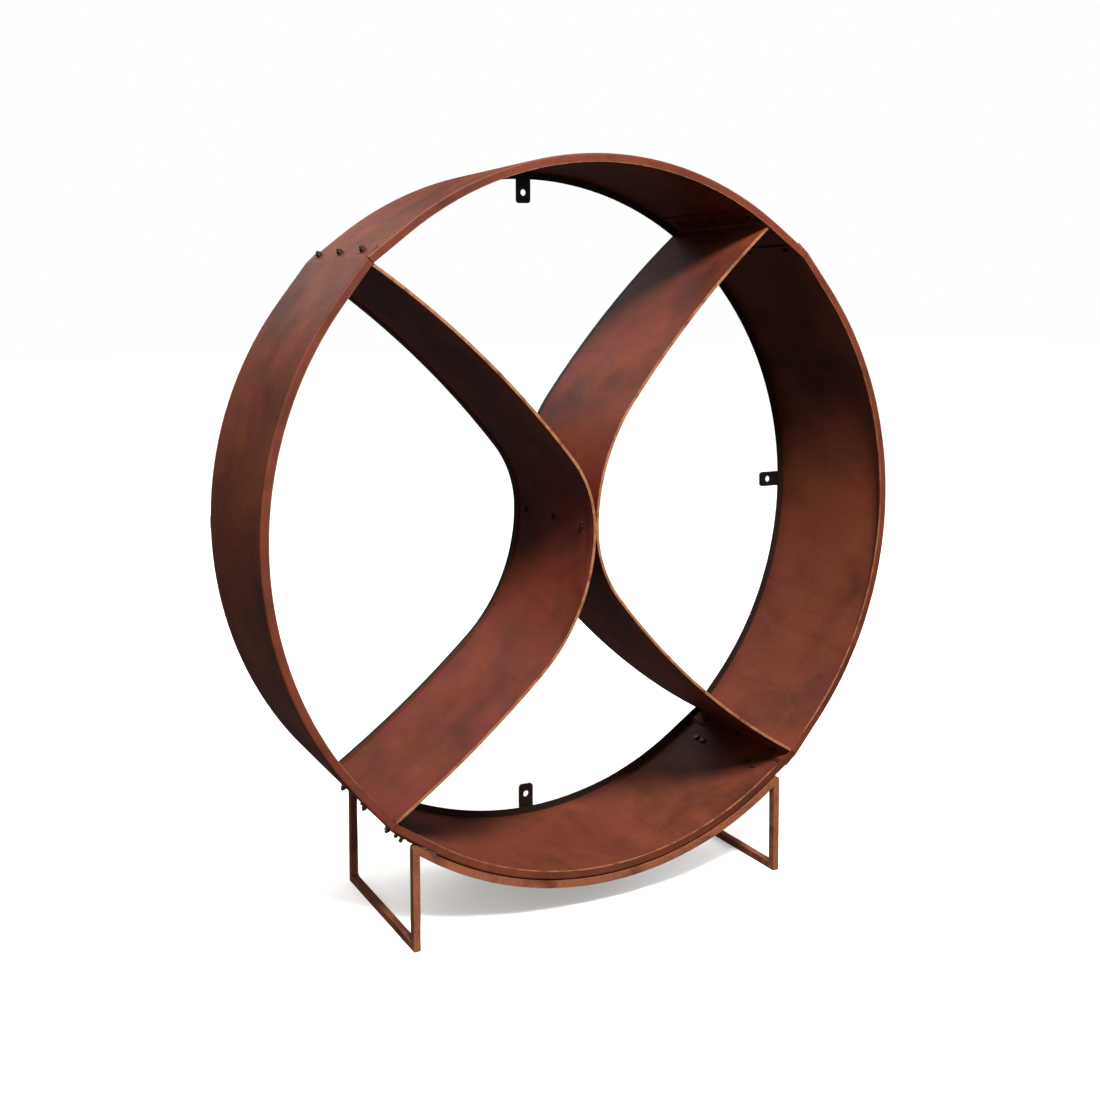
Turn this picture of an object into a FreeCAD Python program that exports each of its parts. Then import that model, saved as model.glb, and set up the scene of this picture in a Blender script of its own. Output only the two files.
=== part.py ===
"""Round firewood log rack: a sheet steel ring on a low bar stand, parted by two curved dividers.

Millimetres, +Z up. The origin is on the floor, under the middle of the rack, and the open front
faces -Y. Angles round the ring are in degrees, from +X towards +Z, about the ring's own centre.
"""

import FreeCAD, Part
import math
import os

from FreeCAD import Vector

# --- driving dimensions -------------------------------------------------------------------
RING_RADIUS = 500.0        # outer face of the rolled ring
RING_DEPTH = 230.0         # front rim to back flange
RING_CENTRE_HEIGHT = 550.0 # above the floor
SHEET = 2.0                # steel sheet of the ring and the dividers
FLANGE = 12.0              # radial width of the front rim and of the back flange
BEND_RADIUS = 3.0          # outer radius of the rim bends
TAB_SHEET = 3.0            # steel of the wall tabs

UPPER_RIGHT_JOINT = 47.0   # the joints between segments, as angles round the ring
UPPER_LEFT_JOINT = 134.5
LOWER_LEFT_JOINT = 229.3
LOWER_RIGHT_JOINT = 310.9
FLAT_DEG = 7.5             # rolled sheet stays flat for this angle next to each joint
RIM_GAP = 1.4              # gap between two segments' rims at a joint
TONGUE_LENGTH = 20.0       # side segments overlap the top and bottom ones by this much
TONGUE_SPRING = 6.0        # degrees that a tongue stands off the segment under it
LAP_CLEARANCE = 0.3        # between a tongue and the step pressed for it

DIVIDER_WIDTH = 224.0      # a little less than the room between the rims
CONTACT_X = -17.0          # where the dividers touch, from the ring's centre
CONTACT_Z = -10.0
LEFT_RADII = (153.0, 265.0)    # in each divider's middle, above and below the contact
RIGHT_RADII = (285.0, 165.0)
LEFT_TURNS = (39.4, 47.4)      # degrees that each radius turns through
RIGHT_TURNS = (37.3, 38.3)
DIVIDER_BEND = 5.0         # centreline radius of the bends at the dividers' ends
SHORT_FOOT = 14.0          # divider feet that share the joint bolts
FOOT_FROM_JOINT = 6.5      # start of a short foot, along the lap
LONG_FOOT = 32.0           # the right divider's upper foot, which has its own bolts
LONG_FOOT_ANGLE = 58.4     # middle of that foot on the ring
HEM_WIDTH = 12.0           # the dividers' long edges are folded back by this much

BOLT_ROWS = (-80.0, 0.0, 80.0)    # along the depth, from the ring's middle
BOLT_DIAMETER = 5.0
BOLT_HOLE = 5.5
LONG_BOLT = 16.0
SHORT_BOLT = 12.0
HEX_WIDTH = 8.0            # across the flats of heads and nuts
HEAD_HEIGHT = 3.5
NUT_HEIGHT = 4.0
NUT_BORE = 5.1
WASHER_DIAMETER = 10.0
WASHER_SHEET = 1.0
BOLT_FROM_JOINT = 13.0     # along the lap, from the joint

BAR = 10.0                 # square bar of the stand
BOW_GAP = 1.3              # room between the ring and the stand's bows
FOOT_HALF_SPAN = 294.5     # middle of the uprights from the rack's middle
UPRIGHT_ROUNDING = 5.0     # outer top corner of each upright
LUG_SHEET = 3.0
LUG_WIDTH = 26.0           # along the ring
LUG_LENGTH = 50.0          # from the stand's bow inwards
LUG_ANGLE = 35.5           # middle of a lug, from the bottom of the ring
LUG_BOLTS = (46.0, 62.0)   # from the front or back of the ring
LUG_GAP = 0.05             # between a lug and the ring

TAB_WIDTH = 24.0
TAB_INNER_RADIUS = 452.0
TAB_OUTER_RADIUS = 499.0
TAB_HOLE_RADIUS = 468.0
TAB_HOLE = 10.0
TAB_ROUNDING = 5.0
TAB_ANGLES = {"right": 0.0, "top": 90.0, "left": 180.0, "bottom": 270.0}

# --- places that follow from them ---------------------------------------------------------
FRONT_Y = -(RING_DEPTH + TAB_SHEET) / 2
BACK_Y = FRONT_Y + RING_DEPTH
MIDDLE_Y = (FRONT_Y + BACK_Y) / 2
CENTRE = Vector(0, 0, RING_CENTRE_HEIGHT)
AXIS = Vector(0, -1, 0)    # turns +X towards +Z
INNER_FACE = RING_RADIUS - SHEET
STEPPED_FACE = INNER_FACE - LAP_CLEARANCE
STEPPED_INNER = STEPPED_FACE - SHEET
FLAT_LENGTH = RING_RADIUS * math.tan(math.radians(FLAT_DEG))
LAP_LENGTH = TONGUE_LENGTH + 1.0
TOUCH = 0.05               # gap left between sheets that lie on each other
HEAD_LIFT = HEX_WIDTH ** 2 / (6 * min(LEFT_RADII))        # of a bolt head in the left divider
WASHER_LIFT = WASHER_DIAMETER ** 2 / (8 * min(RIGHT_RADII)) # of a washer in the right one

# joint: angle round the ring, and the side on which the stepped (top or bottom) segment lies
JOINTS = {
    "top_right": (UPPER_RIGHT_JOINT, 1),
    "top_left": (UPPER_LEFT_JOINT, -1),
    "bottom_left": (LOWER_LEFT_JOINT, 1),
    "bottom_right": (LOWER_RIGHT_JOINT, -1),
}


# --- small helpers ------------------------------------------------------------------------
def radial(angle):
    """Unit vector that points outwards at an angle round the ring."""
    return Vector(math.cos(math.radians(angle)), 0, math.sin(math.radians(angle)))


def tangent(angle):
    """Unit vector along the ring, towards larger angles."""
    return Vector(-math.sin(math.radians(angle)), 0, math.cos(math.radians(angle)))


def at_depth(point, depth):
    return Vector(point.x, depth, point.z)


def prism(points, start, end):
    """Solid with an outline in the XZ plane, from depth start to depth end."""
    outline = [at_depth(p, start) for p in points]
    face = Part.Face(Part.makePolygon(outline + outline[:1]))
    return face.extrude(Vector(0, end - start, 0))


def turned(shape, angle):
    """Copy of a shape, turned about the ring's axis."""
    copy = shape.copy()
    copy.rotate(Vector(0, 0, 0), AXIS, angle)
    return copy


def along(shape, origin, direction):
    """Copy of a shape made along +Z, moved so that +Z becomes a direction from an origin."""
    copy = shape.copy()
    copy.Placement = FreeCAD.Placement(origin, FreeCAD.Rotation(Vector(0, 0, 1), direction))
    return copy


def hole(origin, direction, diameter, length=40.0):
    """Round cutter, centred on its origin."""
    start = origin - direction * (length / 2)
    return Part.makeCylinder(diameter / 2, length, start, direction)


def cut_all(shape, cutters):
    for cutter in cutters:
        shape = shape.cut(cutter)
    return shape


def one_solid(shape):
    """The single solid of a shape, with needless seams removed."""
    clean = shape.removeSplitter()
    if len(clean.Solids) != 1:
        raise RuntimeError("expected one solid, got %d" % len(clean.Solids))
    return clean.Solids[0]


# --- the flat lap next to a joint ---------------------------------------------------------
def lap_frame(joint):
    """Outward normal and inward-running tangent of the stepped segment's flat end."""
    angle, side = JOINTS[joint]
    normal_angle = angle + side * FLAT_DEG
    return radial(normal_angle), tangent(normal_angle) * side


def lap_point(joint, run, distance, depth=0.0):
    """Point on the lap: run is measured from the joint, distance from the ring's axis."""
    normal, forward = lap_frame(joint)
    point = normal * distance + forward * (run - FLAT_LENGTH)
    return at_depth(point, depth)


def lap_plate(joint, runs, distances, depths):
    """Flat plate on the lap, from three pairs of limits."""
    corners = [
        lap_point(joint, runs[0], distances[0]),
        lap_point(joint, runs[1], distances[0]),
        lap_point(joint, runs[1], distances[1]),
        lap_point(joint, runs[0], distances[1]),
    ]
    return prism(corners, depths[0], depths[1])


# --- the ring's four segments -------------------------------------------------------------
def channel_profile():
    """Section of the ring at angle 0: the sheet with its front rim and back flange."""
    inner_bend = BEND_RADIUS - SHEET
    diagonal = math.sqrt(0.5)

    def corner(depth, sign, radius):
        """Bend about the rim's corner, from the rim to the sheet."""
        middle = Vector(RING_RADIUS - BEND_RADIUS, depth + sign * BEND_RADIUS, 0)
        rim_end = middle + Vector(0, -sign * radius, 0)
        halfway = middle + Vector(diagonal * radius, -sign * diagonal * radius, 0)
        sheet_end = middle + Vector(radius, 0, 0)
        return rim_end, halfway, sheet_end

    front_out = corner(FRONT_Y, 1, BEND_RADIUS)
    front_in = corner(FRONT_Y, 1, inner_bend)
    back_out = corner(BACK_Y, -1, BEND_RADIUS)
    back_in = corner(BACK_Y, -1, inner_bend)
    rim = RING_RADIUS - FLANGE
    front_tip = Vector(rim, FRONT_Y, 0)
    front_tip_in = Vector(rim, FRONT_Y + SHEET, 0)
    back_tip = Vector(rim, BACK_Y, 0)
    back_tip_in = Vector(rim, BACK_Y - SHEET, 0)
    edges = [
        Part.makeLine(front_tip, front_out[0]),
        Part.Arc(*front_out).toShape(),
        Part.makeLine(front_out[2], back_out[2]),
        Part.Arc(*reversed(back_out)).toShape(),
        Part.makeLine(back_out[0], back_tip),
        Part.makeLine(back_tip, back_tip_in),
        Part.makeLine(back_tip_in, back_in[0]),
        Part.Arc(*back_in).toShape(),
        Part.makeLine(back_in[2], front_in[2]),
        Part.Arc(*reversed(front_in)).toShape(),
        Part.makeLine(front_in[0], front_tip_in),
        Part.makeLine(front_tip_in, front_tip),
    ]
    return Part.Face(Part.Wire(edges))


def beyond_joint(angle, side):
    """Block past the mitre that ends a segment; side is 1 where the segment's end is its last."""
    corners = []
    for distance, run in ((0.9, -RIM_GAP / 2), (0.9, FLAT_LENGTH), (1.1, FLAT_LENGTH), (1.1, -RIM_GAP / 2)):
        corners.append(radial(angle) * (RING_RADIUS * distance) + tangent(angle) * (side * run))
    return prism(corners, FRONT_Y - 1, BACK_Y + 1)


def rolled_channel(first_joint, last_joint):
    """Channel between two joints: an arc with a flat at each end, mitred at the joint."""
    profile = channel_profile()
    start = first_joint + FLAT_DEG
    end = last_joint - FLAT_DEG
    arc = turned(profile, start).revolve(Vector(0, 0, 0), AXIS, end - start)
    before = turned(profile, start).extrude(tangent(start) * -FLAT_LENGTH)
    after = turned(profile, end).extrude(tangent(end) * FLAT_LENGTH)
    mitres = [beyond_joint(first_joint, -1), beyond_joint(last_joint, 1)]
    return cut_all(arc.fuse([before, after]), mitres)


def step_for_tongue(segment, joint):
    """Press the end of a top or bottom segment inwards, so that a tongue lies flush in it."""
    inside = (FRONT_Y + SHEET, BACK_Y - SHEET)
    start = RIM_GAP / 2
    recess = lap_plate(joint, (start - 1, LAP_LENGTH), (STEPPED_FACE, RING_RADIUS + 1), inside)
    floor = lap_plate(joint, (start, LAP_LENGTH), (STEPPED_INNER, STEPPED_FACE), inside)
    riser = lap_plate(joint, (LAP_LENGTH, LAP_LENGTH + SHEET), (STEPPED_INNER, INNER_FACE), inside)
    return segment.cut(recess).fuse([floor, riser])


def tongue(joint):
    """Plain strip past the end of a side segment's rims, bent to follow the next segment."""
    angle, side = JOINTS[joint]
    depths = (FRONT_Y + SHEET + 0.5, BACK_Y - SHEET - 0.5)
    spring = math.radians(TONGUE_SPRING)
    rise = TONGUE_LENGTH * math.tan(spring)
    outer = RING_RADIUS
    own_normal = radial(angle - side * FLAT_DEG)
    own_forward = tangent(angle - side * FLAT_DEG) * side
    heel = own_forward * (FLAT_LENGTH - RIM_GAP) + own_normal * outer
    heel_inner = heel - own_normal * SHEET
    corner_inner = radial(angle) * ((outer - SHEET) / math.cos(math.radians(FLAT_DEG)))
    corners = [
        heel,
        lap_point(joint, 0, outer),
        lap_point(joint, TONGUE_LENGTH, outer + rise),
        lap_point(joint, TONGUE_LENGTH, outer + rise - SHEET),
        corner_inner,
        heel_inner,
    ]
    return prism(corners, *depths)


def lap_holes(joint):
    """Bolt holes through everything that is stacked on a lap."""
    normal, _ = lap_frame(joint)
    return [hole(place, normal, BOLT_HOLE) for place in lap_places(joint, RING_RADIUS)]


def lap_places(joint, distance):
    """Points of a joint's bolt row at a distance from the ring's axis."""
    rows = [MIDDLE_Y + row for row in BOLT_ROWS]
    return [lap_point(joint, BOLT_FROM_JOINT, distance, row) for row in rows]


def side_segment(first, last):
    """Left or right segment, with a tongue at each end."""
    end = JOINTS[last][0]
    if end < JOINTS[first][0]:
        end += 360.0
    whole = rolled_channel(JOINTS[first][0], end).fuse([tongue(first), tongue(last)])
    return one_solid(cut_all(whole, lap_holes(first) + lap_holes(last)))


def stepped_segment(first, last):
    """Top or bottom segment, stepped for a tongue at each end."""
    channel = rolled_channel(JOINTS[first][0], JOINTS[last][0])
    whole = step_for_tongue(step_for_tongue(channel, first), last)
    return cut_all(whole, lap_holes(first) + lap_holes(last))


# --- the two dividers ---------------------------------------------------------------------
def edge(points):
    """Line through two points, or arc through three."""
    if len(points) == 2:
        return Part.makeLine(*points)
    return Part.Arc(*points).toShape()


def shifted(points, distance):
    """Points of a line or arc, moved to its left by a distance."""
    heading = points[1] - points[0]
    left = Vector(-heading.z, 0, heading.x)
    left.normalize()
    if len(points) == 2:
        return [p + left * distance for p in points]
    middle = edge(points).Curve.Center
    if (middle - points[0]).dot(left) < 0:
        distance = -distance
    moved = []
    for point in points:
        towards = middle - point
        towards.normalize()
        moved.append(point + towards * distance)
    return moved


def strip(points, offsets, depths):
    """Solid between two offsets of a line or arc, from one depth to another."""
    low = shifted(points, offsets[0])
    high = shifted(points, offsets[1])
    outline = [
        edge(low),
        Part.makeLine(low[-1], high[-1]),
        edge(high[::-1]),
        Part.makeLine(high[0], low[0]),
    ]
    face = Part.Face(Part.Wire(outline))
    face.translate(Vector(0, depths[0], 0))
    return face.extrude(Vector(0, depths[1] - depths[0], 0))


def arc_to(start, heading, end):
    """Points of the arc that leaves start along a heading and reaches end, and its last heading."""
    chord = end - start
    forward = chord.dot(heading)
    sideways = chord - heading * forward
    half_turn = math.atan2(sideways.Length, forward)
    sideways.normalize()
    bulge = chord.Length / 2 * math.tan(half_turn / 2)
    unit = Vector(chord.x, 0, chord.z)
    unit.normalize()
    outwards = unit * sideways.dot(unit) - sideways
    outwards.normalize()
    middle = (start + end) * 0.5 + outwards * bulge
    last = unit * (2 * heading.dot(unit)) - heading
    return [start, middle, end], last


def bend_to(start, heading, new_heading):
    """Points of the bend that turns from one heading to another."""
    turn = math.acos(heading.dot(new_heading))
    inwards = new_heading - heading * heading.dot(new_heading)
    inwards.normalize()
    points = [start]
    for share in (0.5, 1.0):
        along_heading = heading * (DIVIDER_BEND * math.sin(turn * share))
        across = inwards * (DIVIDER_BEND * (1 - math.cos(turn * share)))
        points.append(start + along_heading + across)
    return points


def half_divider(hollow, up, radius, turn, foot):
    """Centreline of a divider from the contact line to one foot, as lines and arcs.

    hollow is -1 for the left divider and 1 for the right one; up is 1 or -1. The foot is its
    start, its heading and its length.
    """
    foot_start, foot_heading, foot_length = foot
    contact = Vector(CONTACT_X + hollow * (SHEET + TOUCH) / 2, 0, CONTACT_Z)
    middle = contact + Vector(hollow * radius, 0, 0)
    tight = [contact]
    for share in (0.5, 1.0):
        swept = math.radians(turn * share)
        spoke = Vector(-hollow * math.cos(swept), 0, up * math.sin(swept))
        tight.append(middle + spoke * radius)
    heading = Vector(hollow * math.sin(swept), 0, up * math.cos(swept))
    bend_start = foot_start
    for _ in range(8):
        outer, arriving = arc_to(tight[-1], heading, bend_start)
        bent = bend_to(bend_start, arriving, foot_heading)
        bend_start = bend_start + foot_start - bent[-1]
    foot_line = [bent[-1], bent[-1] + foot_heading * foot_length]
    return [tight, outer], [bent, foot_line]


def divider(hollow, radii, turns, feet):
    """A whole divider from its radii, its turns and its feet, each given upper one first."""
    front = MIDDLE_Y - DIVIDER_WIDTH / 2
    back = MIDDLE_Y + DIVIDER_WIDTH / 2
    pieces = []
    for up, radius, turn, foot in zip((1, -1), radii, turns, feet):
        curves, ends = half_divider(hollow, up, radius, turn, foot)
        for points in curves + ends:
            pieces.append(strip(points, (-SHEET / 2, SHEET / 2), (front, back)))
        side = -hollow * up
        hem = sorted((side * SHEET / 2, side * SHEET * 1.5))
        for points in curves:
            pieces.append(strip(points, hem, (front, front + HEM_WIDTH)))
            pieces.append(strip(points, hem, (back - HEM_WIDTH, back)))
    return pieces[0].fuse(pieces[1:])


def short_foot(joint):
    """Foot that lies on a lap, under the joint's bolt heads."""
    _, forward = lap_frame(joint)
    start = lap_point(joint, FOOT_FROM_JOINT, STEPPED_INNER - TOUCH - SHEET / 2)
    return start, forward, SHORT_FOOT


def long_foot_distance():
    """Outer face of the flat long foot inside the curved ring, from the ring's axis."""
    return math.sqrt(INNER_FACE ** 2 - (LONG_FOOT / 2) ** 2) - TOUCH


def long_foot():
    """Foot on the top segment, beyond the upper right joint."""
    forward = tangent(LONG_FOOT_ANGLE)
    start = radial(LONG_FOOT_ANGLE) * (long_foot_distance() - SHEET / 2)
    return start - forward * (LONG_FOOT / 2), forward, LONG_FOOT


def long_foot_places(distance):
    """Points of the long foot's bolt row at a distance from the ring's axis."""
    place = radial(LONG_FOOT_ANGLE) * distance
    return [at_depth(place, MIDDLE_Y + row) for row in BOLT_ROWS]


def long_foot_holes():
    normal = radial(LONG_FOOT_ANGLE)
    return [hole(place, normal, BOLT_HOLE) for place in long_foot_places(RING_RADIUS)]


def contact_places():
    """Points of the bolt row in the plane between the dividers."""
    return [Vector(CONTACT_X, MIDDLE_Y + row, CONTACT_Z) for row in BOLT_ROWS]


def contact_holes():
    return [hole(place, Vector(1, 0, 0), BOLT_HOLE) for place in contact_places()]


# --- fasteners ----------------------------------------------------------------------------
def hexagon(height):
    """Hexagonal prism on +Z."""
    corner = HEX_WIDTH / math.sqrt(3)
    points = []
    for i in range(7):
        turn = math.radians(60 * i)
        points.append(Vector(corner * math.cos(turn), corner * math.sin(turn), 0))
    prism_shape = Part.Face(Part.makePolygon(points)).extrude(Vector(0, 0, height))
    crown = Part.makeCone(corner + height - 0.4, corner - 0.4, height)
    return prism_shape.common(crown)


def bolt(place, direction, length):
    """Hex bolt whose head bears at a place, with its shank along a direction."""
    shank = Part.makeCylinder(BOLT_DIAMETER / 2, length - 1)
    tip = Part.makeCone(BOLT_DIAMETER / 2, BOLT_DIAMETER / 2 - 0.8, 1, Vector(0, 0, length - 1))
    body = along(shank.fuse(tip), place, direction)
    head = along(hexagon(HEAD_HEIGHT), place, direction * -1)
    return one_solid(body.fuse(head))


def washer(place, direction):
    disc = Part.makeCylinder(WASHER_DIAMETER / 2, WASHER_SHEET)
    bore = Part.makeCylinder(BOLT_HOLE / 2, WASHER_SHEET)
    return along(disc.cut(bore), place, direction)


def nut(place, direction):
    bore = Part.makeCylinder(NUT_BORE / 2, NUT_HEIGHT)
    return along(hexagon(NUT_HEIGHT).cut(bore), place, direction)


def bolt_row(inner_places, outer_places, direction, length):
    """Bolts, washers and nuts from the faces that the heads and the washers bear on."""
    bolts = [bolt(place, direction, length) for place in inner_places]
    washers = [washer(place, direction) for place in outer_places]
    lifted = [place + direction * WASHER_SHEET for place in outer_places]
    nuts = [nut(place, direction) for place in lifted]
    return bolts, washers, nuts


def joint_fasteners(joint, stacked_foot):
    """Fasteners of a joint; the heads bear on the divider's foot where there is one."""
    normal, _ = lap_frame(joint)
    inner = STEPPED_INNER
    if stacked_foot:
        inner -= SHEET + TOUCH
    highest = (BOLT_FROM_JOINT + WASHER_DIAMETER / 2) * math.tan(math.radians(TONGUE_SPRING))
    outer = RING_RADIUS + highest
    return bolt_row(lap_places(joint, inner), lap_places(joint, outer), normal, LONG_BOLT)


def long_foot_fasteners():
    inner = long_foot_distance() - SHEET
    places = long_foot_places(inner), long_foot_places(RING_RADIUS)
    return bolt_row(*places, radial(LONG_FOOT_ANGLE), SHORT_BOLT)


def contact_fasteners():
    """Heads in the left compartment, washers and nuts in the right one."""
    across = Vector(1, 0, 0)
    reach = across * (SHEET + TOUCH / 2)
    left = [place - reach - across * HEAD_LIFT for place in contact_places()]
    right = [place + reach + across * WASHER_LIFT for place in contact_places()]
    return bolt_row(left, right, across, SHORT_BOLT)


# --- the stand ----------------------------------------------------------------------------
def bar_depths(front):
    """Depths between which a front or rear bar of the stand lies."""
    if front:
        return FRONT_Y, FRONT_Y + BAR
    return BACK_Y - BAR, BACK_Y


def bow(front):
    """Square bar rolled to the ring's curve, between the inner faces of two uprights."""
    start, end = bar_depths(front)
    inner = RING_RADIUS + BOW_GAP
    corners = [
        Vector(inner, start, 0),
        Vector(inner + BAR, start, 0),
        Vector(inner + BAR, end, 0),
        Vector(inner, end, 0),
    ]
    section = Part.Face(Part.makePolygon(corners + corners[:1]))
    reach = 40.0
    rolled = turned(section, 270.0 - reach).revolve(Vector(0, 0, 0), AXIS, 2 * reach)
    span = FOOT_HALF_SPAN - BAR / 2
    between = Part.makeBox(2 * span, RING_DEPTH, RING_RADIUS, Vector(-span, FRONT_Y, -RING_RADIUS * 1.5))
    return one_solid(rolled.common(between))


def upright(side, front):
    """Square bar from the floor to the ring, with its top cut to clear the ring."""
    start, end = bar_depths(front)
    corner = Vector(side * FOOT_HALF_SPAN - BAR / 2, start, -RING_CENTRE_HEIGHT)
    post = Part.makeBox(BAR, BAR, RING_CENTRE_HEIGHT, corner)
    room = Part.makeCylinder(RING_RADIUS + BOW_GAP, BAR, Vector(0, start, 0), Vector(0, 1, 0))
    lap = "bottom_right" if side > 0 else "bottom_left"
    distances = (RING_RADIUS / 2, RING_RADIUS + BOW_GAP)
    flat_room = lap_plate(lap, (0, FLAT_LENGTH), distances, (start, end))
    post = one_solid(post.cut(room).cut(flat_room))
    outer_face = side * (FOOT_HALF_SPAN + BAR / 2)
    top = post.BoundBox.ZMax
    rounded = []
    for line in post.Edges:
        middle = line.CenterOfMass
        if abs(middle.x - outer_face) < 0.01 and abs(middle.z - top) < 0.01:
            rounded.append(line)
    return one_solid(post.makeFillet(UPRIGHT_ROUNDING, rounded))


def floor_rail(side):
    """Square bar on the floor between a front and a rear upright."""
    corner = Vector(side * FOOT_HALF_SPAN - BAR / 2, FRONT_Y + BAR, -RING_CENTRE_HEIGHT)
    return Part.makeBox(BAR, RING_DEPTH - 2 * BAR, BAR, corner)


def lug_frame(side):
    """Outward normal of the bottom segment's flat end on one side, and the vector along the
    flat from its tangent point to the middle of a lug."""
    angle, inwards = JOINTS["bottom_right" if side > 0 else "bottom_left"]
    normal_angle = angle + inwards * FLAT_DEG
    from_tangent = math.radians(270.0 + side * LUG_ANGLE - normal_angle)
    return radial(normal_angle), tangent(normal_angle) * (RING_RADIUS * math.tan(from_tangent))


def lug_places(side, front, distance):
    """Points of a lug's bolts at a distance from the ring's axis."""
    normal, to_middle = lug_frame(side)
    place = normal * distance + to_middle
    depths = [FRONT_Y + inset if front else BACK_Y - inset for inset in LUG_BOLTS]
    return [at_depth(place, depth) for depth in depths]


def lug(side, front):
    """Small plate, welded to the bow's inner side, that the bottom segment is bolted to."""
    normal, to_middle = lug_frame(side)
    half = Vector(to_middle).normalize() * (LUG_WIDTH / 2)
    low = RING_RADIUS + LUG_GAP
    if front:
        start = FRONT_Y + BAR
    else:
        start = BACK_Y - BAR - LUG_LENGTH
    corners = []
    for distance, shift in ((low, -1), (low, 1), (low + LUG_SHEET, 1), (low + LUG_SHEET, -1)):
        corners.append(normal * distance + to_middle + half * shift)
    plate = prism(corners, start, start + LUG_LENGTH)
    return one_solid(cut_all(plate, lug_holes(side, front)))


def lug_holes(side, front):
    normal, _ = lug_frame(side)
    return [hole(place, normal, BOLT_HOLE) for place in lug_places(side, front, RING_RADIUS)]


def lug_fasteners(side, front):
    normal, _ = lug_frame(side)
    inner = lug_places(side, front, INNER_FACE)
    outer = lug_places(side, front, RING_RADIUS + LUG_GAP + LUG_SHEET)
    return bolt_row(inner, outer, normal, LONG_BOLT)


def wall_tab(angle):
    """Small plate with a screw hole, behind the back flange and reaching inwards."""
    length = TAB_OUTER_RADIUS - TAB_INNER_RADIUS
    plate = Part.makeBox(length, TAB_SHEET, TAB_WIDTH, Vector(TAB_INNER_RADIUS, BACK_Y, -TAB_WIDTH / 2))
    corners = [e for e in plate.Edges if e.BoundBox.YLength > TAB_SHEET / 2]
    plate = plate.makeFillet(TAB_ROUNDING, corners)
    screw = hole(Vector(TAB_HOLE_RADIUS, BACK_Y, 0), Vector(0, 1, 0), TAB_HOLE)
    return turned(one_solid(plate.cut(screw)), angle)


# --- the whole rack -----------------------------------------------------------------------
def build():
    """Every node, by name."""
    nodes = {}
    corners = [(side, front) for front in (True, False) for side in (-1, 1)]
    stand_holes = []
    for side, front in corners:
        stand_holes += lug_holes(side, front)
    top = stepped_segment("top_right", "top_left")
    nodes["top_segment"] = one_solid(cut_all(top, long_foot_holes()))
    nodes["left_segment"] = side_segment("top_left", "bottom_left")
    bottom = stepped_segment("bottom_left", "bottom_right")
    nodes["bottom_segment"] = one_solid(cut_all(bottom, stand_holes))
    nodes["right_segment"] = side_segment("bottom_right", "top_right")

    left_feet = short_foot("top_left"), short_foot("bottom_left")
    left = divider(-1, LEFT_RADII, LEFT_TURNS, left_feet)
    left_holes = lap_holes("top_left") + lap_holes("bottom_left") + contact_holes()
    nodes["left_divider"] = one_solid(cut_all(left, left_holes))
    right_feet = long_foot(), short_foot("bottom_right")
    right = divider(1, RIGHT_RADII, RIGHT_TURNS, right_feet)
    right_holes = long_foot_holes() + lap_holes("bottom_right") + contact_holes()
    nodes["right_divider"] = one_solid(cut_all(right, right_holes))

    for name, angle in TAB_ANGLES.items():
        nodes[name + "_wall_tab"] = wall_tab(angle)

    nodes["stand_front_bow"] = bow(True)
    nodes["stand_rear_bow"] = bow(False)
    for side, side_name in ((-1, "left"), (1, "right")):
        for front, end_name in ((True, "front"), (False, "rear")):
            place = "%s_%s" % (end_name, side_name)
            nodes["stand_%s_upright" % place] = upright(side, front)
            nodes["stand_%s_lug" % place] = lug(side, front)
        nodes["stand_%s_floor_rail" % side_name] = floor_rail(side)

    rows = {}
    for joint in JOINTS:
        rows[joint + "_joint"] = joint_fasteners(joint, joint != "top_right")
    rows["divider_foot"] = long_foot_fasteners()
    rows["divider_contact"] = contact_fasteners()
    stand_rows = [lug_fasteners(side, front) for side, front in corners]
    rows["stand"] = [sum(kind, []) for kind in zip(*stand_rows)]
    for row, kinds in rows.items():
        for kind, solids in zip(("bolts", "washers", "nuts"), kinds):
            nodes["%s_%s" % (row, kind)] = Part.makeCompound(solids)
    return nodes


if __name__ == "__main__":
    os.makedirs("parts", exist_ok=True)
    for node, shape in build().items():
        shape.translate(CENTRE)
        shape.exportStep("parts/%s.step" % node)
        print(node, len(shape.Solids), round(shape.Volume, 1), shape.isValid())
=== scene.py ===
"""Looks of a round firewood rack: rusted steel finishes, weld beads, studio and camera."""

import math
import random
from collections import namedtuple

import bmesh
import bpy
from mathutils import Matrix, Vector


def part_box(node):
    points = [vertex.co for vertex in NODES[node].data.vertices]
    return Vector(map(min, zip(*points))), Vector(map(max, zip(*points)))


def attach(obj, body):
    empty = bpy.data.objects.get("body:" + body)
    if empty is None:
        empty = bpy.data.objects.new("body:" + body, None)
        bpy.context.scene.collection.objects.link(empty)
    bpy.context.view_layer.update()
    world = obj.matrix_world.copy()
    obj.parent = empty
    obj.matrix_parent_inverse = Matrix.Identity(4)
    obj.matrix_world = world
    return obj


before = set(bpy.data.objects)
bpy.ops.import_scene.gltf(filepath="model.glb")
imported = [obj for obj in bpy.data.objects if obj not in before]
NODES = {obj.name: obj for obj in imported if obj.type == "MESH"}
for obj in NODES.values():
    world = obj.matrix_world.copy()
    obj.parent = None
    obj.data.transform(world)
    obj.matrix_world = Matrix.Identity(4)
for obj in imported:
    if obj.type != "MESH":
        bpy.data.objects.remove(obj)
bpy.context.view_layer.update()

bl_info = {
    "name": "Round firewood rack",
    "version": (1, 0, 0),
    "blender": (4, 5, 0),
    "location": "View3D > Sidebar > Firewood rack",
    "description": "Rusted steel finishes, studio and camera for a round firewood rack",
    "category": "Object",
}

FASTENERS = ("_bolts", "_washers", "_nuts")
MM = 0.001
SHEET = 2 * MM
RIM_WIDTH = 12 * MM        # of the ring's front rim and back flange
HEM_WIDTH = 12 * MM        # of the folded edges of the dividers


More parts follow.
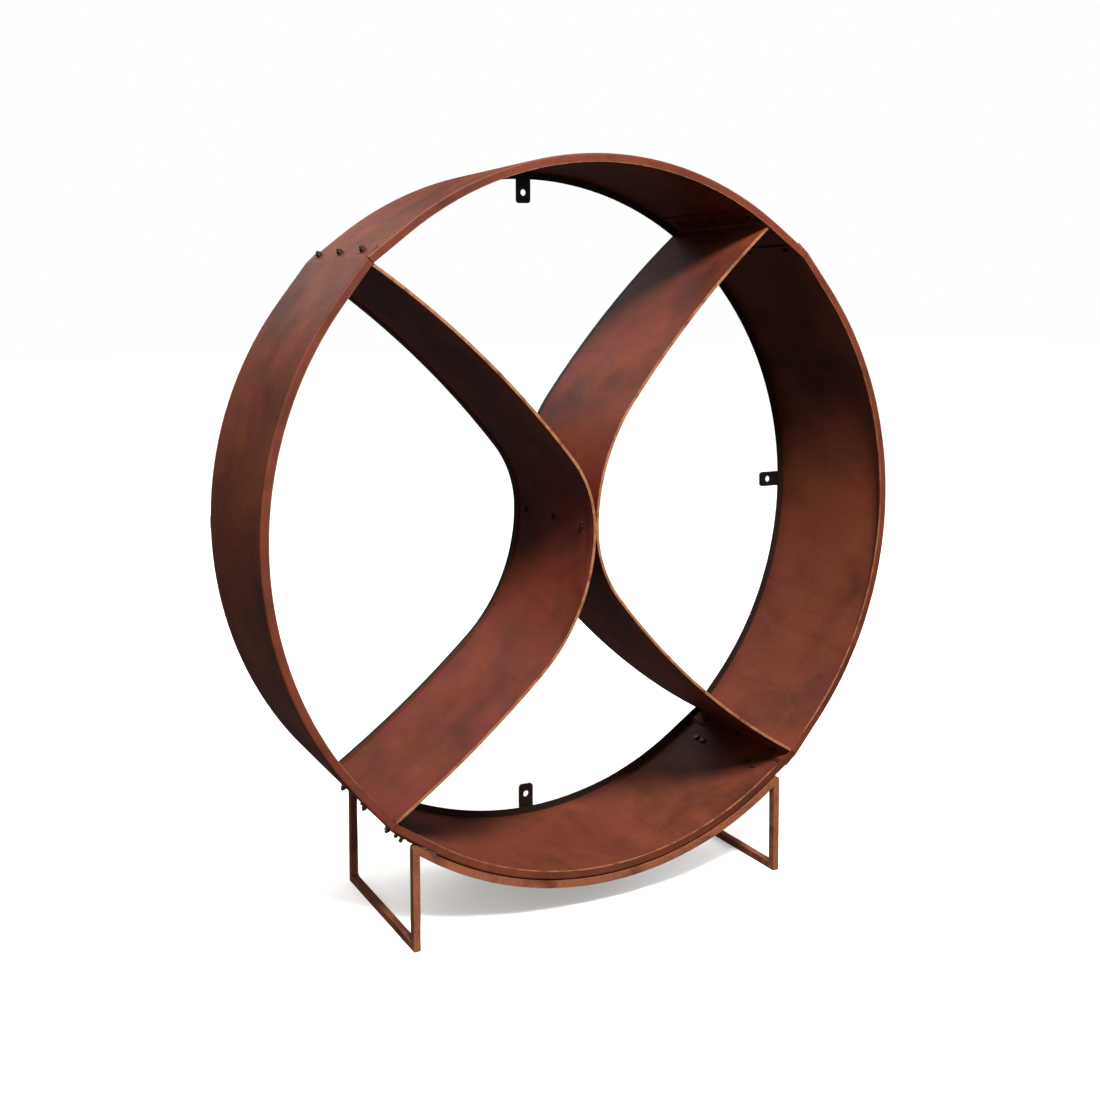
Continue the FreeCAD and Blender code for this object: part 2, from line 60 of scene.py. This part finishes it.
def node_box(name):
    """Lowest and highest corner of a CAD node, as vectors in metres."""
    low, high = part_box(name)
    return Vector(low), Vector(high)


SEGMENTS = [node_box(name) for name in NODES if name.endswith("_segment")]
RING_RADIUS = max(high.x for _, high in SEGMENTS)
RING_TOP = max(high.z for _, high in SEGMENTS)
RING_FRONT = min(low.y for low, _ in SEGMENTS)
RING_BACK = max(high.y for _, high in SEGMENTS)
RING_CENTRE = Vector((0.0, (RING_FRONT + RING_BACK) / 2, RING_TOP - RING_RADIUS))
DIVIDER_FRONT = node_box("left_divider")[0].y
DIVIDER_BACK = node_box("left_divider")[1].y
RAIL_LOW, RAIL_HIGH = node_box("stand_right_floor_rail")
POST_LOW, POST_HIGH = node_box("stand_front_right_upright")

# One layer of patches over a finish: the setting that holds its colour, how far across one patch
# is, the noise values between which it fades in, the most that it covers and its stretch.
Patches = namedtuple("Patches", "colour size_mm limits most stretch", defaults=((1, 1, 1),))
RING_PATCHES = (
    Patches("ring_dark", 170, (0.38, 0.72), 0.8),                   # clouds of older rust
    Patches("ring_orange", 120, (0.42, 0.8), 0.7),                  # fresher patches
    Patches("ring_dark", 26, (0.48, 0.85), 0.4, (1, 0.2, 1)),       # streaks along the depth
    Patches("ring_dark", 5, (0.52, 0.8), 0.5),                      # specks
)
DIVIDER_PATCHES = (
    Patches("divider_dark", 150, (0.38, 0.7), 0.85),
    Patches("divider_orange", 120, (0.42, 0.82), 0.7),
    Patches("divider_dark", 20, (0.48, 0.85), 0.4, (1, 0.25, 1)),
    Patches("divider_dark", 5, (0.52, 0.8), 0.5),
)
BAR_PATCHES = (
    Patches("bar_dark", 60, (0.46, 0.7), 0.8),
    Patches("bar_dark", 6, (0.5, 0.75), 0.5),
)
BEAD_PATCHES = (Patches("bar_dark", 4, (0.4, 0.6), 0.9),)
TAB_PATCHES = (Patches("ring_dark", 12, (0.5, 0.8), 0.3),)
FASTENER_PATCHES = (Patches("ring_dark", 3, (0.42, 0.62), 0.8),)
# Size of the patches in the painted edge highlight, which also holds some wear.
WORN_EDGE_HIGHLIGHT_PATCH_MM = 15
BLOOM_PATCH_MM = 9
BLOOM_REACH = (6 * MM, 18 * MM)     # from a weld, where the yellowish rust starts to fade and ends
UPPER_WELD_DROP = 12 * MM           # from the top of an upright to its weld
OIL_PATCH = 45 * MM

LEAST_RIPPLE = 0.85                 # narrowest ripple of a weld, as a share of the bead's radius
RIPPLE_LENGTH = 0.95                # half the length of a ripple, as a share of their spacing
BEAD_START = 1.5 * MM               # above the floor

# Each light: its name, the setting that holds its power, where it hangs and how wide it is.
LIGHTS = (
    ("key_light", "key_power", (-0.7, -2.6, 3.9), 1.2),
    ("front_light", "front_power", (0.2, -4.2, 1.0), 1.6),
    ("left_light", "left_power", (-3.4, -0.6, 1.8), 1.6),
    ("right_light", "right_power", (3.4, 0.2, 1.8), 1.6),
    ("back_light", "back_power", (-0.7, 3.2, 2.7), 2.0),
)
LIT_POINT = Vector((0, 0, 0.6))
FLOOR_REACH = 25.0
FLOOR_DROP = 0.5 * MM               # below the feet, so that no face lies in another
SKY_SPREAD = math.radians(120)      # of the two lights that shine on the floor alone

CAMERA_FROM_RING = (-1.9014, -3.1213, 0.5847)   # from the ring's centre, in ring radii
CAMERA_YAW = math.radians(22.501)
CAMERA_PITCH = math.radians(-3.882)
CAMERA_ROLL = math.radians(-0.741)
CAMERA_SHIFT = (0.1636, -0.1409)
SENSOR_WIDTH = 36.0


def linear(text):
    """Linear RGBA of an sRGB hex colour."""
    channels = [int(text[i:i + 2], 16) / 255 for i in (0, 2, 4)]
    values = [c / 12.92 if c <= 0.04045 else ((c + 0.055) / 1.055) ** 2.4 for c in channels]
    return (*values, 1.0)


def colour_setting(name, description, text):
    """Colour property whose default is an sRGB hex value."""
    return bpy.props.FloatVectorProperty(
        name=name, description=description, default=linear(text)[:3],
        subtype="COLOR", size=3, min=0.0, max=1.0,
    )


# --- settings -----------------------------------------------------------------------------
class RackRustSettings(bpy.types.PropertyGroup):
    """Colours of the rusted steel, with a painted edge highlight and painted shade at the back."""

    ring_rust: colour_setting("Ring", "Even rust of the rolled ring", "803E2B")
    ring_dark: colour_setting("Ring, dark clouds", "Older, browner rust on the ring", "42201A")
    ring_orange: colour_setting("Ring, fresh rust", "Fresher, more orange rust on the ring", "924A28")
    divider_rust: colour_setting("Dividers", "Even rust of the dividers", "7C3323")
    divider_dark: colour_setting("Dividers, dark clouds", "Older rust on the dividers", "46201A")
    divider_orange: colour_setting("Dividers, fresh rust", "Fresher rust on the dividers", "964A20")
    # Pale edge colour: a painted highlight along cut edges, with some wear.
    worn_edge_highlight: colour_setting("Edge highlight and wear", "Painted highlight and worn rust along cut edges", "BC8058")
    # Near black at the back of the ring and on the dividers' back folds: painted shade.
    back_shade: colour_setting("Back shade", "Painted shade on the back flange and hems", "1C1512")
    bar_rust: colour_setting("Stand bar", "Even rust of the stand's bar", "A66447")
    bar_dark: colour_setting("Stand bar, dark clouds", "Older rust on the bar", "5A3024")
    bar_ochre: colour_setting("Weld ochre", "Yellowish rust near the welds", "96683C")
    tab_black: colour_setting("Wall tabs", "Blackened steel of the wall tabs", "120F0E")
    fastener_brown: colour_setting("Fasteners", "Browned zinc of bolts and nuts", "5E463B")


class RackWeldSettings(bpy.types.PropertyGroup):
    """Sizes of the stand's weld beads."""

    bead_radius: bpy.props.FloatProperty(
        name="Bead radius", description="Half the width of a weld bead",
        default=1.5 * MM, min=0.5 * MM, max=3 * MM, unit="LENGTH",
    )
    ripple_spacing: bpy.props.FloatProperty(
        name="Ripple spacing", description="Distance between two ripples of a bead",
        default=1.3 * MM, min=0.5 * MM, max=3 * MM, unit="LENGTH",
    )


class RackStudioSettings(bpy.types.PropertyGroup):
    """Lights and lens of the studio."""

    key_power: bpy.props.FloatProperty(
        name="Key light", description="Power of the large soft light high at the front left",
        default=275.0, min=0.0, unit="POWER",
    )
    front_power: bpy.props.FloatProperty(
        name="Front light", description="Power of the soft light at the front",
        default=14.0, min=0.0, unit="POWER",
    )
    back_power: bpy.props.FloatProperty(
        name="Back light", description="Power of the soft light above and behind",
        default=16.0, min=0.0, unit="POWER",
    )
    left_power: bpy.props.FloatProperty(
        name="Left light", description="Power of the soft light at the left",
        default=14.0, min=0.0, unit="POWER",
    )
    right_power: bpy.props.FloatProperty(
        name="Right light", description="Power of the soft light at the right",
        default=28.0, min=0.0, unit="POWER",
    )
    floor_light: bpy.props.FloatProperty(
        name="Floor light", description="Strength of the shadowless light that whitens the floor",
        default=3.3, min=0.0,
    )
    floor_shade: bpy.props.FloatProperty(
        name="Floor shade", description="Strength of the light whose shadow shows on the floor",
        default=0.6, min=0.0,
    )
    room_light: bpy.props.FloatProperty(
        name="Room light", description="Strength of the even light from all sides",
        default=0.07, min=0.0, max=2.0,
    )
    lens: bpy.props.FloatProperty(
        name="Lens", description="Focal length on a sensor 36 mm wide",
        default=40.84, min=10.0, max=200.0, subtype="DISTANCE_CAMERA",
    )


# --- material building blocks -------------------------------------------------------------
def add_node(tree, kind, settings=None, inputs=None):
    """A node with its settings; each input is a value, or an output that is linked to it."""
    node = tree.nodes.new(kind)
    for name, value in (settings or {}).items():
        setattr(node, name, value)
    for name, value in (inputs or {}).items():
        if isinstance(value, bpy.types.NodeSocket):
            tree.links.new(value, node.inputs[name])
        else:
            node.inputs[name].default_value = value
    return node


def start_material(name):
    """Empty material, its tree, its shader and the object's own coordinates."""
    material = bpy.data.materials.new(name)
    material.use_nodes = True
    tree = material.node_tree
    tree.nodes.clear()
    shader = add_node(tree, "ShaderNodeBsdfPrincipled")
    add_node(tree, "ShaderNodeOutputMaterial", inputs={"Surface": shader.outputs[0]})
    where = add_node(tree, "ShaderNodeTexCoord").outputs["Object"]
    return material, tree, shader, where


def patch_layer(tree, where, under, over, size_mm, limits, most=1.0, stretch=(1, 1, 1), offset=(0, 0, 0)):
    """Patches of another colour, about size_mm across, over a colour."""
    placed = add_node(tree, "ShaderNodeMapping", inputs={
        "Vector": where, "Scale": stretch, "Location": offset,
    })
    patches = add_node(tree, "ShaderNodeTexNoise", inputs={
        "Vector": placed.outputs[0], "Scale": 1 / (size_mm * MM), "Detail": 5.0,
        "Roughness": 0.6, "Distortion": 0.4,
    })
    return measured_layer(tree, patches.outputs["Fac"], under, over, limits, most)


def measured_layer(tree, measure, under, over, limits, most=1.0):
    """A colour that sets in over another as a measure goes from one limit to the next."""
    share = add_node(tree, "ShaderNodeMapRange", {"interpolation_type": "SMOOTHSTEP"}, {
        "Value": measure, "From Min": limits[0], "From Max": limits[1], "To Max": most,
    })
    layer = add_node(tree, "ShaderNodeMix", {"data_type": "RGBA"}, {
        0: share.outputs[0], 6: under, 7: over,
    })
    return layer.outputs[2]


def patched_skin(tree, where, rust, even, layers, offset=(0, 0, 0)):
    """The even colour of a finish under its layers of patches."""
    skin = colour(getattr(rust, even))
    for layer in layers:
        over = colour(getattr(rust, layer.colour))
        skin = patch_layer(
            tree, where, skin, over, layer.size_mm, layer.limits, layer.most, layer.stretch, offset,
        )
    return skin


def oiled_rust(tree, shader, where, skin, roughness):
    """Gives a shader the colour, satin and fine pitting of rust sealed with oil."""
    tree.links.new(skin, shader.inputs["Base Color"])
    wiped = add_node(tree, "ShaderNodeTexNoise", inputs={
        "Vector": where, "Scale": 1 / OIL_PATCH, "Detail": 4.0,
    })
    satin = add_node(tree, "ShaderNodeMapRange", inputs={
        "Value": wiped.outputs["Fac"], "From Min": 0.3, "From Max": 0.7,
        "To Min": roughness - 0.02, "To Max": roughness + 0.04,
    })
    tree.links.new(satin.outputs[0], shader.inputs["Roughness"])
    # Grains of rust are about 0.2 mm across; drawn at 2.5 mm so that they show.
    grains = add_node(tree, "ShaderNodeTexNoise", inputs={
        "Vector": where, "Scale": 1 / (2.5 * MM), "Detail": 3.0,
    })
    pitting = add_node(tree, "ShaderNodeBump", inputs={
        "Height": grains.outputs["Fac"], "Strength": 0.14, "Distance": 0.3 * MM,
    })
    tree.links.new(pitting.outputs[0], shader.inputs["Normal"])
    shader.inputs["IOR"].default_value = 1.5
    shader.inputs["Specular IOR Level"].default_value = 0.3


def colour(value):
    """RGBA of a colour setting."""
    return (*value, 1.0)


def finish(names, material):
    """Gives CAD nodes a material in place of their plain one."""
    if not names:
        raise ValueError("the frame has no node for " + material.name)
    for name in names:
        materials = NODES[name].data.materials
        materials.clear()
        materials.append(material)


def names_ending(*endings):
    """Names of the CAD nodes with one of these endings, in order."""
    return sorted(name for name in NODES if name.endswith(endings))


# --- finishes -----------------------------------------------------------------------------
def rolled_ring_rust(name, rust, offset):
    """Mild steel sheet, rolled, rusted evenly and sealed with oil.

    A red-brown satin skin with hand-sized darker clouds, fresher orange patches, faint streaks
    along the depth where it ran through the rolls, a painted highlight with some wear on the front rim's
    cut edge and a near-black back flange of painted shade.
    """
    material, tree, shader, where = start_material(name)
    skin = patched_skin(tree, where, rust, "ring_rust", RING_PATCHES, offset)
    split = add_node(tree, "ShaderNodeSeparateXYZ", inputs={"Vector": where})
    # Where the back flange starts, the colour goes near black: painted shade of the ring's deep back.
    back_shade_start = RING_BACK - SHEET - 0.6 * MM
    skin = measured_layer(
        tree, split.outputs["Y"], skin, colour(rust.back_shade), (back_shade_start - 1 * MM, back_shade_start), 0.93,
    )
    spoke = add_node(tree, "ShaderNodeCombineXYZ", inputs={
        "X": split.outputs["X"], "Z": split.outputs["Z"], "Y": 0.0,
    })
    from_axis = add_node(tree, "ShaderNodeVectorMath", {"operation": "DISTANCE"}, {
        0: spoke.outputs[0], 1: (0.0, 0.0, RING_CENTRE.z),
    })
    cut_edge = RING_RADIUS - RIM_WIDTH
    # Pale patches on the front rim's cut edge: a painted highlight, with some wear.
    worn_edge_highlight = patch_layer(tree, where, colour(rust.worn_edge_highlight), skin, WORN_EDGE_HIGHLIGHT_PATCH_MM, (0.3, 0.75))
    edge = measured_layer(
        tree, from_axis.outputs["Value"], worn_edge_highlight, skin, (cut_edge + 0.2 * MM, cut_edge + 1.2 * MM),
    )
    # The painted highlight goes only on the front rim's edge; the back flange's edge keeps its painted
    # shade.
    skin = measured_layer(tree, split.outputs["Y"], edge, skin, (RING_FRONT + 3 * MM, RING_FRONT + 4 * MM))
    oiled_rust(tree, shader, where, skin, 0.54)
    return material


def folded_divider_rust(name, rust, offset):
    """Mild steel sheet with folded edges, rusted evenly and sealed with oil.

    A little redder and shinier than the ring, as it is sheltered: cloudy dark patches, a glow of
    fresh rust, a painted highlight with some wear on the front fold and painted shade on the back fold.
    """
    material, tree, shader, where = start_material(name)
    skin = patched_skin(tree, where, rust, "divider_rust", DIVIDER_PATCHES, offset)
    split = add_node(tree, "ShaderNodeSeparateXYZ", inputs={"Vector": where})
    # Pale front fold: a painted highlight, with some wear.
    worn_edge_highlight = patch_layer(tree, where, colour(rust.worn_edge_highlight), skin, WORN_EDGE_HIGHLIGHT_PATCH_MM, (0.35, 0.8))
    skin = measured_layer(
        tree, split.outputs["Y"], worn_edge_highlight, skin, (DIVIDER_FRONT + 0.2 * MM, DIVIDER_FRONT + 0.8 * MM),
    )
    # Near-black back fold: painted shade.
    fold = DIVIDER_BACK - HEM_WIDTH
    skin = measured_layer(
        tree, split.outputs["Y"], skin, colour(rust.back_shade), (fold - 1 * MM, fold + 4 * MM), 0.9,
    )
    oiled_rust(tree, shader, where, skin, 0.5)
    return material


def welded_bar_rust(rust):
    """Square mild steel bar, welded, rusted and oiled.

    Lighter rust than the sheet's, with dark patches and specks and a yellowish bloom round the
    welds, where the heat took the mill scale off.
    """
    material, tree, shader, where = start_material("Rusted square bar")
    skin = patched_skin(tree, where, rust, "bar_rust", BAR_PATCHES)
    # The stand's four corners are alike, so one measure from the absolute place serves them all.
    folded = add_node(tree, "ShaderNodeVectorMath", {"operation": "ABSOLUTE"}, {0: where})
    corner_y = (abs(POST_LOW.y) + abs(POST_HIGH.y)) / 2
    bar_middle = (POST_LOW.x + POST_HIGH.x) / 2
    for height in (RAIL_HIGH.z / 2, POST_HIGH.z - UPPER_WELD_DROP):
        reach = add_node(tree, "ShaderNodeVectorMath", {"operation": "DISTANCE"}, {
            0: folded.outputs[0], 1: (bar_middle, corner_y, height),
        })
        bloom = patch_layer(tree, where, colour(rust.bar_ochre), skin, BLOOM_PATCH_MM, (0.3, 0.6))
        skin = measured_layer(tree, reach.outputs["Value"], bloom, skin, BLOOM_REACH)
    oiled_rust(tree, shader, where, skin, 0.5)
    return material


def weld_bead_rust(rust):
    """Weld metal, left as laid and rusted.

    Dark brown ripples with patches of ochre rust.
    """
    material, tree, shader, where = start_material("Rusted weld bead")
    skin = patched_skin(tree, where, rust, "bar_ochre", BEAD_PATCHES)
    oiled_rust(tree, shader, where, skin, 0.45)
    return material


def blackened_plate(rust):
    """Mild steel plate, cut, blackened and waxed.

    Near black with a soft shine and faint brown where the finish is thin.
    """
    material, tree, shader, where = start_material("Blackened steel plate")
    skin = patched_skin(tree, where, rust, "tab_black", TAB_PATCHES)
    tree.links.new(skin, shader.inputs["Base Color"])
    shader.inputs["Roughness"].default_value = 0.45
    return material


def browned_fastener(rust):
    """Zinc-plated steel, browned by the rust round it.

    Dull brown metal with rusty specks, whose corners still catch the light.
    """
    material, tree, shader, where = start_material("Browned zinc-plated steel")
    skin = patched_skin(tree, where, rust, "fastener_brown", FASTENER_PATCHES)
    tree.links.new(skin, shader.inputs["Base Color"])
    shader.inputs["Roughness"].default_value = 0.4
    shader.inputs["Metallic"].default_value = 0.55
    return material


# --- weld beads ---------------------------------------------------------------------------
def bead(mesh, start, end, radius, spacing, seed):
    """Row of overlapping ripples from start to end."""
    rng = random.Random(seed)
    run = end - start
    count = max(3, round(run.length / spacing))
    turn = run.to_track_quat("Z", "Y").to_matrix().to_4x4()
    for i in range(count + 1):
        place = start + run * (i / count)
        width = radius * rng.uniform(LEAST_RIPPLE, 1.0)
        size = Matrix.Diagonal((width, width, spacing * RIPPLE_LENGTH, 1.0))
        shape = Matrix.Translation(place) @ turn @ size
        bmesh.ops.create_uvsphere(mesh, u_segments=12, v_segments=8, radius=1.0, matrix=shape)


def corner_welds():
    """Start and end of each bead, over and up the inside of each end of the floor rails."""
    lines = []
    for side in (-1, 1):
        inner, outer = side * POST_LOW.x, side * POST_HIGH.x
        for depth in (RAIL_LOW.y, RAIL_HIGH.y):
            inner_top = Vector((inner, depth, RAIL_HIGH.z))
            lines.append((inner_top, Vector((outer, depth, RAIL_HIGH.z))))
            lines.append((Vector((inner, depth, BEAD_START)), inner_top))
    return lines


# --- operators ----------------------------------------------------------------------------
class RACK_OT_ring(bpy.types.Operator):
    """Finish the four segments of the rolled ring"""

    bl_idname = "rack.ring"
    bl_label = "Ring segments"

    def execute(self, context):
        for index, name in enumerate(names_ending("_segment")):
            offset = (0.43 * index, 0.1 * index, 0.71 * index)
            label = "Rusted rolled sheet, " + name.replace("_", " ")
            finish([name], rolled_ring_rust(label, context.scene.rack_rust, offset))
        return {"FINISHED"}


class RACK_OT_dividers(bpy.types.Operator):
    """Finish the two curved dividers"""

    bl_idname = "rack.dividers"
    bl_label = "Dividers"

    def execute(self, context):
        for index, name in enumerate(names_ending("_divider")):
            offset = (1.3 + 0.47 * index, 0.2, 0.23 * index)
            label = "Rusted folded sheet, " + name.replace("_", " ")
            finish([name], folded_divider_rust(label, context.scene.rack_rust, offset))
        return {"FINISHED"}


class RACK_OT_stand(bpy.types.Operator):
    """Finish the bars and lugs of the stand"""

    bl_idname = "rack.stand"
    bl_label = "Stand"

    def execute(self, context):
        bars = [n for n in sorted(NODES) if n.startswith("stand_") and not n.endswith(FASTENERS)]
        finish(bars, welded_bar_rust(context.scene.rack_rust))
        return {"FINISHED"}


class RACK_OT_welds(bpy.types.Operator):
    """Lay the weld beads of the stand"""

    bl_idname = "rack.welds"
    bl_label = "Weld beads"

    def execute(self, context):
        sizes = context.scene.rack_weld
        mesh = bmesh.new()
        for seed, (start, end) in enumerate(corner_welds()):
            bead(mesh, start, end, sizes.bead_radius, sizes.ripple_spacing, seed)
        data = bpy.data.meshes.new("stand_weld_beads")
        mesh.to_mesh(data)
        mesh.free()
        data.shade_smooth()
        data.materials.append(weld_bead_rust(context.scene.rack_rust))
        beads = bpy.data.objects.new("stand_weld_beads", data)
        context.scene.collection.objects.link(beads)
        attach(beads, "root")
        return {"FINISHED"}


class RACK_OT_tabs(bpy.types.Operator):
    """Finish the four wall tabs"""

    bl_idname = "rack.tabs"
    bl_label = "Wall tabs"

    def execute(self, context):
        finish(names_ending("_wall_tab"), blackened_plate(context.scene.rack_rust))
        return {"FINISHED"}


class RACK_OT_fasteners(bpy.types.Operator):
    """Finish the bolts, washers and nuts"""

    bl_idname = "rack.fasteners"
    bl_label = "Fasteners"

    def execute(self, context):
        finish(names_ending(*FASTENERS), browned_fastener(context.scene.rack_rust))
        return {"FINISHED"}


class RACK_OT_studio(bpy.types.Operator):
    """Build the pale floor, the soft lights and the camera"""

    bl_idname = "rack.studio"
    bl_label = "Studio"

    def execute(self, context):
        studio = context.scene.rack_studio
        self.room(context, studio)
        self.floor(context, studio)
        for name, power, place, width in LIGHTS:
            self.light(context, name, Vector(place), width, getattr(studio, power))
        self.camera(context, studio)
        context.scene.view_settings.view_transform = "Standard"
        return {"FINISHED"}

    def floor(self, context, studio):
        """Pale floor under a light of its own, so it stays pale without brightening the rack."""
        turns = ((-1, -1), (1, -1), (1, 1), (-1, 1))
        corners = [(FLOOR_REACH * x, FLOOR_REACH * y, 0) for x, y in turns]
        data = bpy.data.meshes.new("studio_floor")
        data.from_pydata(corners, [], [(0, 1, 2, 3)])
        material, tree, shader, _ = start_material("Pale painted floor")
        shader.inputs["Base Color"].default_value = linear("F4F2EF")
        shader.inputs["Roughness"].default_value = 0.9
        data.materials.append(material)
        floor = bpy.data.objects.new("studio_floor", data)
        floor.location.z = -FLOOR_DROP
        context.scene.collection.objects.link(floor)
        floor.visible_diffuse = False
        floor.visible_glossy = False
        only_floor = bpy.data.collections.new("lit_by_floor_lights")
        only_floor.objects.link(floor)
        for name, strength in (("floor_light", studio.floor_light), ("floor_shade", studio.floor_shade)):
            data = bpy.data.lights.new(name, "SUN")
            data.energy = strength
            data.angle = SKY_SPREAD
            data.use_shadow = name == "floor_shade"
            lamp = bpy.data.objects.new(name, data)
            context.scene.collection.objects.link(lamp)
            lamp.light_linking.receiver_collection = only_floor

    def room(self, context, studio):
        """White room that lights the rack only softly, so its hollows stay dark."""
        world = bpy.data.worlds.new("White room")
        world.use_nodes = True
        tree = world.node_tree
        tree.nodes.clear()
        seen = add_node(tree, "ShaderNodeLightPath").outputs["Is Camera Ray"]
        white = linear("FFFFFF")
        dim = add_node(tree, "ShaderNodeBackground", inputs={"Color": white, "Strength": studio.room_light})
        bright = add_node(tree, "ShaderNodeBackground", inputs={"Color": white, "Strength": 1.0})
        both = add_node(tree, "ShaderNodeMixShader", inputs={
            0: seen, 1: dim.outputs[0], 2: bright.outputs[0],
        })
        add_node(tree, "ShaderNodeOutputWorld", inputs={"Surface": both.outputs[0]})
        context.scene.world = world

    def light(self, context, name, place, width, power):
        """Round soft light that faces the rack and isn't seen itself."""
        data = bpy.data.lights.new(name, "AREA")
        data.shape = "DISK"
        data.size = width
        data.energy = power
        lamp = bpy.data.objects.new(name, data)
        lamp.location = place
        lamp.rotation_mode = "QUATERNION"
        lamp.rotation_quaternion = (LIT_POINT - place).to_track_quat("-Z", "Y")
        lamp.visible_camera = False
        context.scene.collection.objects.link(lamp)

    def camera(self, context, studio):
        """Camera at the front left, a little above the ring's middle."""
        ahead = Vector((math.sin(CAMERA_YAW), math.cos(CAMERA_YAW), 0))
        level = Vector((math.cos(CAMERA_YAW), -math.sin(CAMERA_YAW), 0))
        forward = ahead * math.cos(CAMERA_PITCH) + Vector((0, 0, math.sin(CAMERA_PITCH)))
        upright = level.cross(forward)
        right = level * math.cos(CAMERA_ROLL) + upright * math.sin(CAMERA_ROLL)
        up = upright * math.cos(CAMERA_ROLL) - level * math.sin(CAMERA_ROLL)
        data = bpy.data.cameras.new("camera")
        data.sensor_width = SENSOR_WIDTH
        data.lens = studio.lens
        data.shift_x, data.shift_y = CAMERA_SHIFT
        camera = bpy.data.objects.new("camera", data)
        place = RING_CENTRE + Vector(CAMERA_FROM_RING) * RING_RADIUS
        turn = Matrix((right, up, -forward)).transposed().to_4x4()
        camera.matrix_world = Matrix.Translation(place) @ turn
        context.scene.collection.objects.link(camera)
        context.scene.camera = camera


class RACK_PT_panel(bpy.types.Panel):
    """Pieces and settings of the firewood rack"""

    bl_idname = "RACK_PT_panel"
    bl_label = "Firewood rack"
    bl_space_type = "VIEW_3D"
    bl_region_type = "UI"
    bl_category = "Firewood rack"

    def draw(self, context):
        for operator in OPERATORS:
            self.layout.operator(operator.bl_idname)
        for owner in SETTINGS:
            settings = getattr(context.scene, owner)
            for name in SETTINGS[owner].__annotations__:
                self.layout.prop(settings, name)


OPERATORS = (
    RACK_OT_ring, RACK_OT_dividers, RACK_OT_stand, RACK_OT_welds, RACK_OT_tabs,
    RACK_OT_fasteners, RACK_OT_studio,
)
SETTINGS = {
    "rack_rust": RackRustSettings,
    "rack_weld": RackWeldSettings,
    "rack_studio": RackStudioSettings,
}


def register():
    for owner, group in SETTINGS.items():
        bpy.utils.register_class(group)
        setattr(bpy.types.Scene, owner, bpy.props.PointerProperty(type=group))
    for operator in OPERATORS:
        bpy.utils.register_class(operator)
    bpy.utils.register_class(RACK_PT_panel)


def unregister():
    bpy.utils.unregister_class(RACK_PT_panel)
    for operator in reversed(OPERATORS):
        bpy.utils.unregister_class(operator)
    for owner, group in SETTINGS.items():
        delattr(bpy.types.Scene, owner)
        bpy.utils.unregister_class(group)


def main():
    register()
    bpy.ops.rack.ring()
    bpy.ops.rack.dividers()
    bpy.ops.rack.stand()
    bpy.ops.rack.welds()
    bpy.ops.rack.tabs()
    bpy.ops.rack.fasteners()
    bpy.ops.rack.studio()


if __name__ == "__main__":
    main()
